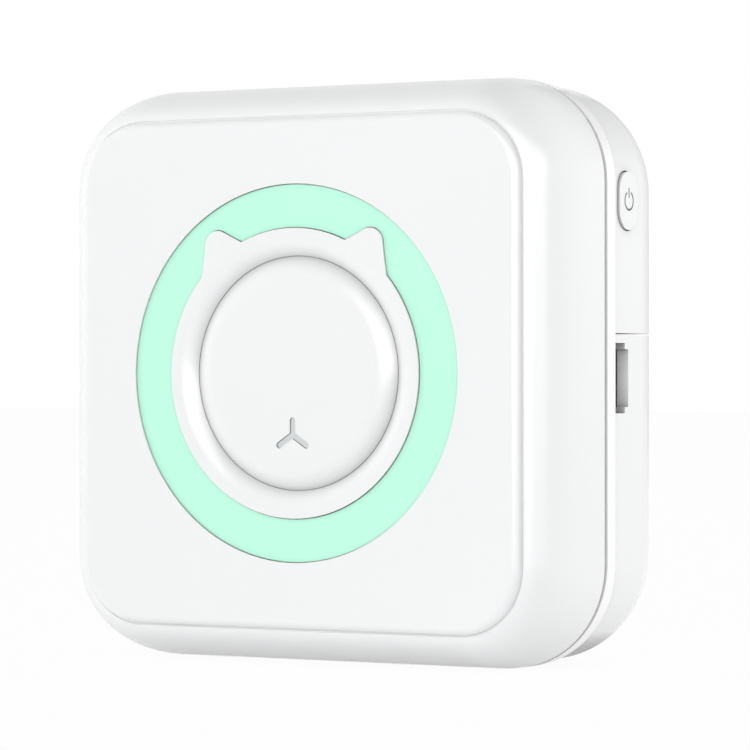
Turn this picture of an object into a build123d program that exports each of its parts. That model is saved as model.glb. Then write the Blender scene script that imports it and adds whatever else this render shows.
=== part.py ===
from build123d import *
from math import acos, atan2, cos, degrees, hypot, pi, radians, sin, sqrt, tan
import os

# Pocket printer for 57 mm thermal paper: a rounded square case on its lower edge, face towards -Y.
# X runs across the width, Y from the face (-) to the back (+), Z up. The origin is the middle of
# the footprint. Depths below are counted back from the face, heights up from the footprint.

# Case outline
body_size = 85.0
body_depth = 37.0
outline_radius = 15.25
plate_inset = 5.5
plate_rise = 1.3
plate_edge_radius = 1.1
plate_groove = 0.3
face_wall = 2.4
wall = 1.8
cover_depth = 15.75
seam_gap = 0.9
seam_reach = 0.9
band_width = 2.45
band_rim = 4.0
web_thickness = 1.5
rear_inset = 0.4
rear_corner = 16.0
rear_edge_radius = 8.5
case_gap = 0.3
parting_above_centre = 5.6
parting_gap = 0.25

# Face
ring_outer = 27.4
ring_inner = 21.0
ring_depth = 1.2
ring_recess = 0.3
ring_gap = 0.12
ear_foot = (15.75, 13.6)
ear_tip = (14.8, 22.2)
ear_valley = (8.3, 18.85)
ear_tip_radius = 2.1
ear_valley_radius = 0.6
ear_bow = 0.16
groove_radius = 17.0
groove_depth = 1.3
shoulder_width = 3.2
dome_gap = 0.07
pocket_depth = 1.6
mark_drop = 8.9
mark_width = 0.85
mark_up_length = 2.45
mark_side_length = 3.15
mark_side_angle = 33.0
mark_recess = 0.2

# Clearances
run_clearance = 0.05
nip_clearance = 0.1
seat_clearance = 0.1

# Door hinge
hinge_radius = 2.6
hinge_pin_radius = 0.8
hinge_spacing = 40.0
lug_width = 5.0
knuckle_width = 4.0
knuckle_gap = 0.2

# Paper roll and its bay
roll_width = 57.0
roll_radius = 14.5
roll_depth = 19.4
core_outer = 6.5
core_bore = 5.3
bay_side_gap = 0.8
bay_floor_gap = 0.5
bay_wall = 0.8
bay_end_wall = 1.0
bay_floor_past_bottom = 10.0
bay_above_pivot = 1.5
bay_ceiling_gap = 0.2
bay_ceiling_length = 11.8

# Platen, print head and paper exit
platen_depth = 24.0
platen_height = 11.0
platen_radius = 4.2
platen_length = 57.2
platen_shaft_radius = 1.5
bush_radius = 2.5
bush_flange_radius = 3.3
bush_flange = 0.3
web_inner = 29.2
door_web = 1.4
cheek_inner = 30.9
cheek = 1.4
head_length = 55.0
ridge_length = 48.0
head_thickness = 0.7
head_ridge = 0.2
sink_thickness = 1.8
sink_length = 57.2
pivot_above_nip = 4.9
pivot_pin_radius = 0.8
pivot_eye_radius = 1.3
spring_radius = 1.8
spring_wire = 0.2
spring_turns = 3.5
spring_spacing = 26.0
spring_below_nip = 1.5
spring_seat_depth = 11.8
spring_seat_wall = 1.0
spring_end_gap = 0.3
ribbon_clearance = 0.3
exit_width = 59.0
exit_gap = 1.3
tear_bar_thickness = 0.35
tear_tooth = 1.0

# Gear train, from the motor to the platen
pressure_angle = 25.0
backlash = 0.1
coarse_module = 0.5
fine_module = 0.4
platen_teeth = 18
idler_small_teeth = 12
idler_large_teeth = 28
pinion_teeth = 9
gear_width = 2.2
fine_gear_width = 1.4
gear_axle_radius = 0.75
motor_depth = 9.9
motor_radius = 5.0
motor_length = 10.0
motor_shaft_radius = 0.75

# Side button and charging port
button_depth = 23.5
button_above_centre = 24.8
button_width = 5.7
button_length = 8.4
button_proud = 0.35
button_gap = 0.15
button_lip = 0.6
button_travel = 0.4
symbol_radius = 1.45
symbol_line = 0.3
symbol_depth = 0.15
port_drop = 0.72
port_length = 10.1
port_step_length = 8.3
port_depth = 3.4
port_step_depth = 1.1
socket_length = 8.9
socket_thickness = 3.2
socket_body = 7.0
socket_recess = 3.8
socket_shell = 0.35

# Electronics
board_thickness = 1.0
board_standoff = 0.65
board_left = -24.0
board_right = 34.5
board_shoulder = 57.2
board_top = 71.6
board_tongue = (30.6, 37.6)
board_tongue_foot = 36.5
battery_width = 37.0
battery_thickness = 11.5
battery_length = 25.0
battery_tape_thickness = 0.8
connector_height = 1.1
chip_spacing = 13.0
guide_thickness = 0.8
guide_width = 7.2

# Screws
screw_shank = 0.85
screw_head = 1.6
screw_head_height = 0.8
screw_clearance = 0.1
screw_recess = 0.4
boss_radius = 2.4

centre = body_size / 2
front_y = -body_depth / 2
corner_centre = centre - outline_radius
plate_size = body_size - 2 * plate_inset
rear_size = body_size - 2 * rear_inset
band_front = cover_depth + seam_gap
band_rear = band_front + band_width
web_rear = band_front + web_thickness
rear_front = band_rear + case_gap
back_inner = body_depth - wall
parting = centre + parting_above_centre
door_top = parting - parting_gap / 2
rear_cover_foot = parting + parting_gap / 2
rear_half = rear_size / 2
hinge_depth = body_depth - hinge_radius
hinge_height = door_top - hinge_radius


def face_plane(depth):
    """Plane parallel to the face, seen from the front, with its origin level with the case centre."""
    return Plane(origin=(0, front_y + depth, centre), x_dir=(1, 0, 0), z_dir=(0, -1, 0))


def axis_plane(x, depth, height):
    """Plane across an axis that runs along X; its local x is depth and its local y is height."""
    return Plane(origin=(x, front_y + depth, height), x_dir=(0, 1, 0), z_dir=(1, 0, 0))


def section_plane():
    """Half section through the face's centre: local x is the radius and local y the depth."""
    return Plane(origin=(0, front_y, centre), x_dir=(1, 0, 0), z_dir=(0, 0, 1))


face_axis = Axis((0, front_y, centre), (0, 1, 0))


def block(x, depth, height, mode=Mode.ADD):
    """Box between two limits in width, depth and height."""
    with BuildSketch(axis_plane(x[0], 0, 0), mode=Mode.PRIVATE) as profile:
        with Locations(((depth[0] + depth[1]) / 2, (height[0] + height[1]) / 2)):
            Rectangle(depth[1] - depth[0], height[1] - height[0])
    extrude(profile.sketch, amount=x[1] - x[0], mode=mode)


def rod(x, depth, height, radius, mode=Mode.ADD):
    """Round bar along the width, between two limits."""
    with BuildSketch(axis_plane(x[0], depth, height), mode=Mode.PRIVATE) as profile:
        Circle(radius)
    extrude(profile.sketch, amount=x[1] - x[0], mode=mode)


def post(x, height, radius, depth, mode=Mode.ADD):
    """Round bar along the depth, between two limits."""
    with BuildSketch(face_plane(depth[0]), mode=Mode.PRIVATE) as profile:
        with Locations((x, height - centre)):
            Circle(radius)
    extrude(profile.sketch, amount=depth[0] - depth[1], mode=mode)


def outline_slab(size, depth, mode=Mode.ADD):
    """Slab with the case outline at one size; every such outline shares its corner centres."""
    with BuildSketch(face_plane(depth[0]), mode=Mode.PRIVATE) as profile:
        RectangleRounded(size, size, size / 2 - corner_centre)
    extrude(profile.sketch, amount=depth[0] - depth[1], mode=mode)


def rear_form(inset):
    """Rounded back of the case, or its hollow when inset by the wall."""
    with BuildPart() as form:
        with BuildSketch(face_plane(rear_front - inset)):
            RectangleRounded(rear_size - 2 * inset, rear_size - 2 * inset, rear_corner - inset)
        extrude(amount=rear_front - body_depth)
        fillet(form.faces().sort_by(Axis.Y)[-1].edges(), rear_edge_radius - inset)
    return form.part


def arc_wall(x, start, end, mode=Mode.ADD):
    """Part of a round wall about the paper roll, between two angles from straight back."""
    with BuildSketch(axis_plane(x[0], roll_depth, roll_height), mode=Mode.PRIVATE) as profile:
        Circle(bay_radius + bay_wall)
        Circle(bay_radius, mode=Mode.SUBTRACT)
        rays = [(40 * cos(radians(start + (end - start) * step / 3)),
                 40 * sin(radians(start + (end - start) * step / 3))) for step in range(4)]
        Polygon((0, 0), *rays, align=None, mode=Mode.INTERSECT)
    extrude(profile.sketch, amount=x[1] - x[0], mode=mode)


def plate_shape(x, points, mode=Mode.ADD):
    """Flat plate across the width from an outline of depths and heights."""
    with BuildSketch(axis_plane(x[0], 0, 0), mode=Mode.PRIVATE) as profile:
        Polygon(*points, align=None)
    extrude(profile.sketch, amount=x[1] - x[0], mode=mode)


def pill(x, depth, height, length, width, mode=Mode.ADD):
    """Bar along the width with a round-ended section that stands upright."""
    with BuildSketch(axis_plane(x[0], depth, height), mode=Mode.PRIVATE) as profile:
        SlotOverall(length, width, rotation=90)
    extrude(profile.sketch, amount=x[1] - x[0], mode=mode)


def wire_path(radius, *points):
    """Round wire along points of width, depth and height, with rounded corners."""
    places = [(x, front_y + depth, height) for x, depth, height in points]
    with BuildLine(mode=Mode.PRIVATE) as path:
        FilletPolyline(*places, radius=1.0)
    route = path.wires()[0]
    with BuildSketch(Plane(origin=route @ 0, z_dir=route % 0), mode=Mode.PRIVATE) as profile:
        Circle(radius)
    sweep(profile.sketch, path=route)


def screw(x, height, head_depth, length, direction):
    """Cross-recessed screw along the depth; direction 1 drives it backwards, -1 forwards."""
    tip = head_depth + direction * length
    top = head_depth - direction * screw_head_height
    post(x, height, screw_head, (min(head_depth, top), max(head_depth, top)))
    post(x, height, screw_shank, (min(head_depth, tip), max(head_depth, tip)))
    floor = top + direction * screw_recess
    for width, breadth in ((1.8, 0.4), (0.4, 1.8)):
        block((x - width / 2, x + width / 2), (min(top, floor), max(top, floor)),
              (height - breadth / 2, height + breadth / 2), mode=Mode.SUBTRACT)


def gear_points(teeth, module, phase):
    """Outline of a stub-tooth involute gear with one tooth centred on the phase angle, in degrees."""
    pitch_radius = teeth * module / 2
    base_radius = pitch_radius * cos(radians(pressure_angle))
    root_radius = pitch_radius - 1.05 * module
    tip_radius = pitch_radius + 0.8 * module
    half_tooth = (pi * module / 2 - backlash) / (2 * pitch_radius)
    pressure = radians(pressure_angle)

    def half_angle(radius):
        if radius <= base_radius:
            return half_tooth + tan(pressure) - pressure
        roll = acos(base_radius / radius)
        return half_tooth + (tan(pressure) - pressure) - (tan(roll) - roll)

    middle = (pitch_radius + tip_radius) / 2
    flank = [root_radius, max(base_radius, root_radius + 0.01), pitch_radius, middle, tip_radius]
    points = []
    for tooth in range(teeth):
        axis_angle = radians(phase) + 2 * pi * tooth / teeth
        for radius in flank:
            angle = axis_angle - half_angle(radius)
            points.append((radius * cos(angle), radius * sin(angle)))
        for radius in reversed(flank):
            angle = axis_angle + half_angle(radius)
            points.append((radius * cos(angle), radius * sin(angle)))
    return points


def gear(x, depth, height, teeth, module, phase):
    """Spur gear between two limits in width."""
    with BuildSketch(axis_plane(x[0], depth, height), mode=Mode.PRIVATE) as profile:
        with BuildLine():
            Polyline(*gear_points(teeth, module, phase), close=True)
        make_face()
    extrude(profile.sketch, amount=x[1] - x[0])


def mirror_x(x):
    """The same span of the width on the other side of the middle."""
    return (-x[1], -x[0])


def head_outline(growth):
    """Round face outline with two ears, grown or shrunk by a small margin."""
    with BuildSketch() as outline:
        Circle(ring_inner)
        for side in (-1, 1):
            foot = (side * ear_foot[0], ear_foot[1])
            tip = (side * ear_tip[0], ear_tip[1])
            valley = (side * ear_valley[0], ear_valley[1])
            with BuildSketch(mode=Mode.PRIVATE) as ear:
                with BuildLine():
                    SagittaArc(foot, tip, side * ear_bow)
                    SagittaArc(tip, valley, side * ear_bow)
                    Polyline(valley, (side * ear_valley[0] * 0.8, ear_valley[1] * 0.8),
                             (side * ear_foot[0] * 0.8, ear_foot[1] * 0.8), foot)
                make_face()
                fillet(ear.vertices().sort_by(Axis.Y)[-1], ear_tip_radius)
            add(ear.sketch)
        for side in (-1, 1):
            corner = (side * ear_valley[0], ear_valley[1], 0)
            fillet(outline.vertices().sort_by_distance(corner)[0], ear_valley_radius)
        if growth:
            offset(amount=growth)
    return outline.sketch


def mark_outline(growth):
    """Three-armed outline of the status light."""
    arms = ((90.0, mark_up_length), (180.0 + mark_side_angle, mark_side_length),
            (-mark_side_angle, mark_side_length))
    with BuildSketch() as outline:
        for angle, length in arms:
            reach = length - mark_width / 2
            middle = (reach / 2 * cos(radians(angle)), reach / 2 * sin(radians(angle)) - mark_drop)
            with Locations(middle):
                SlotCenterToCenter(reach, mark_width + 2 * growth, rotation=angle)
    return outline.sketch


os.makedirs("parts", exist_ok=True)


# Places that several pieces share
cover_screw_places = ((-33.0, 76.0), (33.0, 76.0), (-36.0, 29.0), (36.0, 29.0))
rear_screw_places = ((-22.0, 75.0), (22.0, 75.0), (-26.0, 54.0), (26.0, 54.0))
board_screw_places = ((-21.0, 68.5), (31.5, 60.2), (-21.0, 60.2))
bin_screw_places = ((-35.0, 39.0), (35.0, 39.0))
lug_front = 15.2
print_frame_screw_places = ((-35.3, 23.0), (35.3, 23.0))
lug_places = (-hinge_spacing / 2, hinge_spacing / 2)
cheek_outer = cheek_inner + cheek
coarse_gear_x = (cheek_outer + 0.4, cheek_outer + 0.4 + gear_width)
fine_gear_x = (coarse_gear_x[1] + 0.3, coarse_gear_x[1] + 0.3 + fine_gear_width)
nip_depth = platen_depth - platen_radius
head_face = nip_depth - nip_clearance
sink_rear = head_face - head_ridge - head_thickness
sink_front = sink_rear - sink_thickness
pivot_depth = (sink_front + sink_rear) / 2
pivot_height = platen_height + pivot_above_nip
bay_radius = roll_radius + bay_floor_gap
roll_height = pivot_height + pivot_pin_radius + bay_above_pivot + bay_wall + bay_radius
bay_ceiling_height = roll_height + bay_radius + bay_ceiling_gap
bay_ceiling_depth = roll_depth + bay_ceiling_length
bay_top = bay_ceiling_height + bay_end_wall
spring_height = platen_height - spring_below_nip
board_front = web_rear + board_standoff
board_rear = board_front + board_thickness
port_height = centre - port_drop
button_height = centre + button_above_centre
socket_depth = board_rear + seat_clearance + socket_thickness / 2
socket_mouth = rear_half - socket_recess
bay_half = roll_width / 2 + bay_side_gap
bay_front = roll_depth - bay_radius - bay_wall
web_foot = bay_top + 0.1
led_height = bay_top + 1.0
board_foot = bay_top + 0.4
connector_places = ((-15.0, bay_top + 2.6), (17.5, bay_top + 2.6))
battery_connector = (25.0, 60.2)
rim_inner = centre - band_rim
side_inner = bay_half + bay_end_wall + 0.9
rear_screw_head = web_rear + 1.6
door_back = back_inner

# The platen leaves the head square to its line to the hinge; the idler sits on the far side of it
hinge_to_platen = hypot(hinge_depth - platen_depth, hinge_height - platen_height)
leave_depth = (hinge_height - platen_height) / hinge_to_platen
leave_height = -(hinge_depth - platen_depth) / hinge_to_platen
platen_centres = (platen_teeth + idler_small_teeth) * coarse_module / 2
idler_depth = platen_depth - platen_centres * leave_depth
idler_height = platen_height - platen_centres * leave_height
motor_centres = (idler_large_teeth + pinion_teeth) * fine_module / 2
motor_height = idler_height - sqrt(motor_centres ** 2 - (idler_depth - motor_depth) ** 2)
idler_to_platen = degrees(atan2(platen_height - idler_height, platen_depth - idler_depth))
idler_to_motor = degrees(atan2(motor_height - idler_height, motor_depth - idler_depth))
ear_angle = radians(30.0)
motor_ears = tuple((motor_depth + side * 6.4 * cos(ear_angle), motor_height - side * 6.4 * sin(ear_angle))
                   for side in (-1, 1))

head_shape = head_outline(0)
head_shape_grown = head_outline(ring_gap)
mark_shape = mark_outline(0)
mark_hole = mark_outline(run_clearance)

# Front cover: raised plate, swept side wall, ring channel, rounded groove and screw bosses
with BuildPart() as front_cover:
    with BuildSketch(face_plane(0)):
        RectangleRounded(plate_size, plate_size, plate_size / 2 - corner_centre)
    extrude(amount=-face_wall)
    fillet(front_cover.faces().sort_by(Axis.Y)[0].edges(), plate_edge_radius)
    with BuildSketch(face_plane(cover_depth), mode=Mode.PRIVATE) as cover_edge:
        RectangleRounded(body_size, body_size, centre - corner_centre)
    path = cover_edge.sketch.faces()[0].outer_wire()
    start = path @ 0
    ahead = path % 0
    outward = start - Vector(0, start.Y, centre)
    outward = (outward - ahead * outward.dot(ahead)).normalized()
    bevel = (body_size - plate_size) / 2
    rise = cover_depth - plate_rise
    with BuildSketch(Plane(origin=start, x_dir=outward, z_dir=outward.cross(Vector(0, 1, 0)))):
        with BuildLine():
            outer = EllipticalCenterArc((-bevel, 0), bevel, rise, start_angle=-90, arc_size=90)
            inner = EllipticalCenterArc((-bevel, 0), bevel - wall, rise - wall, start_angle=-90, arc_size=90)
            Line(outer @ 1, inner @ 1)
            Polyline(outer @ 0, (-bevel - wall, -rise), (-bevel - wall, wall - rise), inner @ 0)
        make_face()
    sweep(path=path)
    with BuildSketch(face_plane(cover_depth)):
        tongue_size = body_size - 2 * seam_reach
        RectangleRounded(tongue_size, tongue_size, tongue_size / 2 - corner_centre)
        inner_size = body_size - 2 * wall
        RectangleRounded(inner_size, inner_size, inner_size / 2 - corner_centre, mode=Mode.SUBTRACT)
    extrude(amount=-seam_gap)
    for x, z in cover_screw_places:
        post(x, z, boss_radius, (face_wall - 0.2, band_front))
        post(x, z, screw_shank, (face_wall + 4.0, band_front + 1.0), mode=Mode.SUBTRACT)
    with BuildSketch(face_plane(plate_rise - plate_groove)):
        groove_size = plate_size + 2 * plate_groove
        RectangleRounded(groove_size, groove_size, groove_size / 2 - corner_centre)
        RectangleRounded(plate_size, plate_size, plate_size / 2 - corner_centre, mode=Mode.SUBTRACT)
    extrude(amount=-2 * plate_groove, mode=Mode.SUBTRACT)
    with BuildSketch(face_plane(0)):
        Circle(ring_outer)
        add(head_shape, mode=Mode.SUBTRACT)
    extrude(amount=-ring_depth, mode=Mode.SUBTRACT)
    shoulder_radius = (shoulder_width ** 2 + groove_depth ** 2) / (2 * groove_depth)
    shoulder_mid = shoulder_radius - sqrt(shoulder_radius ** 2 - (shoulder_width / 2) ** 2)
    with BuildSketch(section_plane()):
        with BuildLine():
            ThreePointArc((groove_radius + shoulder_width, 0),
                          (groove_radius + shoulder_width / 2, shoulder_mid), (groove_radius, groove_depth))
            Polyline((groove_radius, groove_depth), (groove_radius, pocket_depth), (0, pocket_depth), (0, -1),
                     (groove_radius + shoulder_width, -1), (groove_radius + shoulder_width, 0))
        make_face()
    revolve(axis=face_axis, mode=Mode.SUBTRACT)
    with BuildSketch(face_plane(0)):
        add(mark_hole)
    extrude(amount=-face_wall - 1, mode=Mode.SUBTRACT)

# Face ring, let into its channel and a little below the plate
with BuildPart() as accent_ring:
    with BuildSketch(face_plane(ring_recess)):
        Circle(ring_outer - ring_gap)
        add(head_shape_grown, mode=Mode.SUBTRACT)
    extrude(amount=ring_recess - ring_depth)

# Round cap in the middle of the face; its shoulder makes the inner half of the groove
with BuildPart() as face_dome:
    cap_radius = groove_radius - dome_gap
    with BuildSketch(section_plane()):
        with BuildLine():
            ThreePointArc((cap_radius - shoulder_width, 0), (cap_radius - shoulder_width / 2, shoulder_mid),
                          (cap_radius, groove_depth))
            Polyline((cap_radius, groove_depth), (cap_radius, pocket_depth), (0, pocket_depth), (0, 0),
                     (cap_radius - shoulder_width, 0))
        make_face()
    revolve(axis=face_axis)
    with BuildSketch(face_plane(0)):
        add(mark_hole)
    extrude(amount=-pocket_depth - 1, mode=Mode.SUBTRACT)

# Clear guide from the status light on the board to its window in the face
with BuildPart() as status_light_guide:
    guide_rear = face_wall + guide_thickness
    guide_top = led_height + guide_thickness / 2
    with BuildSketch(face_plane(mark_recess)):
        add(mark_shape)
    extrude(amount=mark_recess - face_wall - 0.2)
    block((-guide_width / 2, guide_width / 2), (face_wall, guide_rear), (centre - mark_drop - 3.6, guide_top))
    block((-guide_width / 2, guide_width / 2), (face_wall, web_rear - 0.2),
          (guide_top - guide_thickness, guide_top))
    fillet(status_light_guide.edges().filter_by(Axis.X).sort_by_distance((0, front_y + face_wall, guide_top))[0],
           guide_thickness * 0.7)

# Middle frame: bright band round the case, the web that carries the board and the battery, side strips
with BuildPart() as middle_frame:
    outline_slab(body_size, (band_front, band_rear))
    with BuildSketch(face_plane(band_front - 1)):
        RectangleRounded(2 * rim_inner, 2 * rim_inner, rim_inner - corner_centre)
    extrude(amount=-band_width - 2, mode=Mode.SUBTRACT)
    with BuildSketch(face_plane(band_front)):
        RectangleRounded(2 * rim_inner + 0.4, 2 * rim_inner + 0.4, rim_inner + 0.2 - corner_centre)
    extrude(amount=-web_thickness)
    block((-side_inner, side_inner), (band_front - 1, web_rear + 1), (0.5 * band_rim, web_foot), mode=Mode.SUBTRACT)
    with BuildSketch(face_plane(band_front - 1)):
        RectangleRounded(2 * rim_inner, 2 * rim_inner, rim_inner - corner_centre)
        with Locations((0, 10.0 - centre)):
            Rectangle(2 * rim_inner, 20.0, mode=Mode.INTERSECT)
    extrude(amount=-web_thickness - 2, mode=Mode.SUBTRACT)
    for side in ((cheek_inner - 0.3, cheek_outer + 0.3), mirror_x((cheek_inner - 0.3, cheek_outer + 0.3))):
        block(side, (band_front - 1, web_rear + 1), (3.7, 20.0), mode=Mode.SUBTRACT)
    lip_size = body_size - 2 * wall - 2 * seat_clearance
    with BuildSketch(face_plane(band_front - 2.15)):
        RectangleRounded(lip_size, lip_size, lip_size / 2 - corner_centre)
        RectangleRounded(lip_size - 2.4, lip_size - 2.4, lip_size / 2 - 1.2 - corner_centre, mode=Mode.SUBTRACT)
    extrude(amount=-2.65)
    for x, z in cover_screw_places:
        post(x, z, boss_radius + 0.15, (band_front - 3, band_front), mode=Mode.SUBTRACT)
        post(x, z, screw_shank + screw_clearance, (band_front - 1, band_rear), mode=Mode.SUBTRACT)
    for x, z in board_screw_places:
        post(x, z, boss_radius - 0.5, (web_rear - 0.2, board_front))
    for x, z in rear_screw_places + board_screw_places + bin_screw_places + print_frame_screw_places:
        post(x, z, screw_shank, (band_front - 1, band_rear), mode=Mode.SUBTRACT)
    for x, z in connector_places:
        block((x - 4.0, x + 4.0), (band_front - 1, web_rear + 1), (z - 2.6, z + 2.6), mode=Mode.SUBTRACT)
    block((-guide_width / 2 - 0.6, guide_width / 2 + 0.6), (band_front - 1, web_rear + 1),
          (web_foot - 1, led_height + 1.1), mode=Mode.SUBTRACT)
    rod((coarse_gear_x[1], fine_gear_x[1] + 0.7), idler_depth, idler_height,
        idler_large_teeth * fine_module / 2 + 0.8, mode=Mode.SUBTRACT)

rear_outer = rear_form(0)
rear_inner = rear_form(wall)

# Upper rear shell with the hinge lugs, the screw posts and the hole for the power button
with BuildPart() as rear_cover:
    add(rear_outer)
    add(rear_inner, mode=Mode.SUBTRACT)
    block((-centre, centre), (rear_front - 1, body_depth + 1), (-1, rear_cover_foot), mode=Mode.SUBTRACT)
    block((-34.0, 34.0), (bay_ceiling_depth + 0.4, back_inner + 0.2), (rear_cover_foot, rear_cover_foot + 1.0))
    for x, z in rear_screw_places:
        post(x, z, screw_head + 1.1, (web_rear, back_inner + 0.2))
        post(x, z, screw_head + 0.3, (rear_screw_head, body_depth + 1), mode=Mode.SUBTRACT)
        post(x, z, screw_shank + screw_clearance, (web_rear - 1, rear_screw_head + 1), mode=Mode.SUBTRACT)
    for x in lug_places:
        lug = (x - lug_width / 2, x + lug_width / 2)
        rod(lug, hinge_depth, hinge_height, hinge_radius - 0.1)
        block(lug, (hinge_depth - hinge_radius + 0.1, body_depth - 0.1), (hinge_height, rear_cover_foot + 2.0))
        rod(lug, hinge_depth, hinge_height, hinge_pin_radius, mode=Mode.SUBTRACT)
    pill((rear_half - wall - 1, rear_half + 1), button_depth, button_height, button_length + 2 * button_gap,
         button_width + 2 * button_gap, mode=Mode.SUBTRACT)

# Lower rear shell: the paper door, with its barrel, the webs that carry the platen and the roll ramp
with BuildPart() as paper_door:
    add(rear_outer)
    add(rear_inner, mode=Mode.SUBTRACT)
    block((-centre, centre), (rear_front - 1, body_depth + 1), (door_top, body_size + 1), mode=Mode.SUBTRACT)
    with BuildSketch(axis_plane(-centre, hinge_depth, hinge_height)):
        with Locations((hinge_radius / 2 + 0.5, hinge_radius / 2 + 0.5)):
            Rectangle(hinge_radius + 1, hinge_radius + 1)
        Circle(hinge_radius, mode=Mode.SUBTRACT)
    extrude(amount=body_size, mode=Mode.SUBTRACT)
    barrel = hinge_spacing / 2 + lug_width / 2 + knuckle_gap + knuckle_width
    rod((-barrel, barrel), hinge_depth, hinge_height, hinge_radius)
    for x in lug_places:
        notch = (x - lug_width / 2 - knuckle_gap, x + lug_width / 2 + knuckle_gap)
        block(notch, (hinge_depth - hinge_radius - 0.3, body_depth + 1),
              (hinge_height - hinge_radius - 0.3, door_top + 1), mode=Mode.SUBTRACT)
        rod((x - lug_width / 2 - 2.3, x + lug_width / 2 + knuckle_width + 1), hinge_depth, hinge_height,
            hinge_pin_radius + run_clearance, mode=Mode.SUBTRACT)
        rod((x - lug_width / 2 - knuckle_width - 1, x + lug_width / 2 + 2.3), hinge_depth, hinge_height,
            hinge_pin_radius + run_clearance, mode=Mode.SUBTRACT)
    block((rear_half - wall - 1, rear_half + 1), (rear_front - 1, rear_front + port_depth),
          (port_height - port_length / 2, port_height + port_length / 2), mode=Mode.SUBTRACT)
    block((rear_half - wall - 1, rear_half + 1), (rear_front - 1, rear_front + port_depth + port_step_depth),
          (port_height - port_step_length / 2, port_height + port_step_length / 2), mode=Mode.SUBTRACT)
    for web in ((web_inner, web_inner + door_web), mirror_x((web_inner, web_inner + door_web))):
        plate_shape(web, ((20.6, 8.0), (20.6, 14.0), (22.5, 16.0), (back_inner + 0.2, 16.0),
                          (back_inner + 0.2, 9.5), (27.5, 1.8), (22.6, 1.8)))
        rod(web, platen_depth, platen_height, bush_radius + 1.1)
        rod(web, platen_depth, platen_height, bush_radius, mode=Mode.SUBTRACT)
    for x in (-20.0, 0.0, 20.0):
        block((x - 0.6, x + 0.6), (roll_depth + 5.8, back_inner + 0.2), (roll_height - 14.6, roll_height - 6.5))
    rod((-web_inner, web_inner), roll_depth, roll_height, bay_radius, mode=Mode.SUBTRACT)
    arc_wall((-roll_width / 2 + 0.3, roll_width / 2 - 0.3), 292, 335)
    block((-exit_width / 2, exit_width / 2), (rear_front - 1, rear_front + exit_gap), (-1, 3.5),
          mode=Mode.SUBTRACT)

# Hinge pins, pressed into the lugs
with BuildPart() as hinge_pins:
    for x in lug_places:
        rod((x - lug_width / 2 - 2.0, x + lug_width / 2 + 2.0), hinge_depth, hinge_height, hinge_pin_radius)

# Bushes in the door's webs; outside the webs they drop into the print frame's seats
with BuildPart() as platen_bushes:
    bush = (web_inner, cheek_outer - 0.1)
    flange = (web_inner - bush_flange, web_inner)
    for span, collar in ((bush, flange), (mirror_x(bush), mirror_x(flange))):
        rod(span, platen_depth, platen_height, bush_radius)
        rod(collar, platen_depth, platen_height, bush_flange_radius)
        rod((span[0] - 1, span[1] + 1), platen_depth, platen_height, platen_shaft_radius + run_clearance,
            mode=Mode.SUBTRACT)

# Platen: steel shaft, rubber roller and its drive gear
with BuildPart() as platen_shaft:
    rod((-cheek_outer - 0.2, coarse_gear_x[1] + 0.1), platen_depth, platen_height, platen_shaft_radius)

with BuildPart() as platen_roller:
    rod((-platen_length / 2, platen_length / 2), platen_depth, platen_height, platen_radius)
    rod((-platen_length / 2, platen_length / 2), platen_depth, platen_height, platen_shaft_radius,
        mode=Mode.SUBTRACT)

with BuildPart() as platen_gear:
    gear(coarse_gear_x, platen_depth, platen_height, platen_teeth, coarse_module,
         idler_to_platen + 180 + 180 / platen_teeth)
    rod(coarse_gear_x, platen_depth, platen_height, platen_shaft_radius, mode=Mode.SUBTRACT)

# Double idler gear on its fixed axle, kept by a clip
with BuildPart() as idler_gear:
    gear(coarse_gear_x, idler_depth, idler_height, idler_small_teeth, coarse_module, idler_to_platen)
    gear(fine_gear_x, idler_depth, idler_height, idler_large_teeth, fine_module, idler_to_motor)
    rod((coarse_gear_x[1] - 0.1, fine_gear_x[0] + 0.1), idler_depth, idler_height, 2.0)
    rod((coarse_gear_x[0] - 1, fine_gear_x[1] + 1), idler_depth, idler_height,
        gear_axle_radius + run_clearance, mode=Mode.SUBTRACT)

with BuildPart() as gear_axle:
    rod((cheek_inner, fine_gear_x[1] + 0.5), idler_depth, idler_height, gear_axle_radius)
    rod((cheek_outer, coarse_gear_x[0] - 0.05), idler_depth, idler_height, gear_axle_radius + 0.65)

with BuildPart() as gear_clip:
    rod((fine_gear_x[1] + 0.05, fine_gear_x[1] + 0.35), idler_depth, idler_height, gear_axle_radius + 0.85)
    rod((fine_gear_x[1], fine_gear_x[1] + 0.5), idler_depth, idler_height, gear_axle_radius,
        mode=Mode.SUBTRACT)

# Stepper motor on the right cheek, with its shaft and pinion
with BuildPart() as stepper_motor:
    rod((cheek_inner - motor_length, cheek_inner), motor_depth, motor_height, motor_radius)
    with BuildSketch(axis_plane(cheek_inner - 0.8, motor_depth, motor_height)):
        SlotCenterToCenter(12.8, 3.2, rotation=-30)
    extrude(amount=0.8)
    for depth, z in motor_ears:
        rod((cheek_inner - 1, cheek_inner), depth, z, 0.7, mode=Mode.SUBTRACT)
    rod((cheek_inner - 5, cheek_inner), motor_depth, motor_height, motor_shaft_radius + run_clearance,
        mode=Mode.SUBTRACT)

with BuildPart() as motor_shaft:
    rod((cheek_inner - 4.8, fine_gear_x[1] + 0.2), motor_depth, motor_height, motor_shaft_radius)

with BuildPart() as motor_pinion:
    gear(fine_gear_x, motor_depth, motor_height, pinion_teeth, fine_module,
         idler_to_motor + 180 + 180 / pinion_teeth)
    rod(fine_gear_x, motor_depth, motor_height, motor_shaft_radius, mode=Mode.SUBTRACT)

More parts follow.
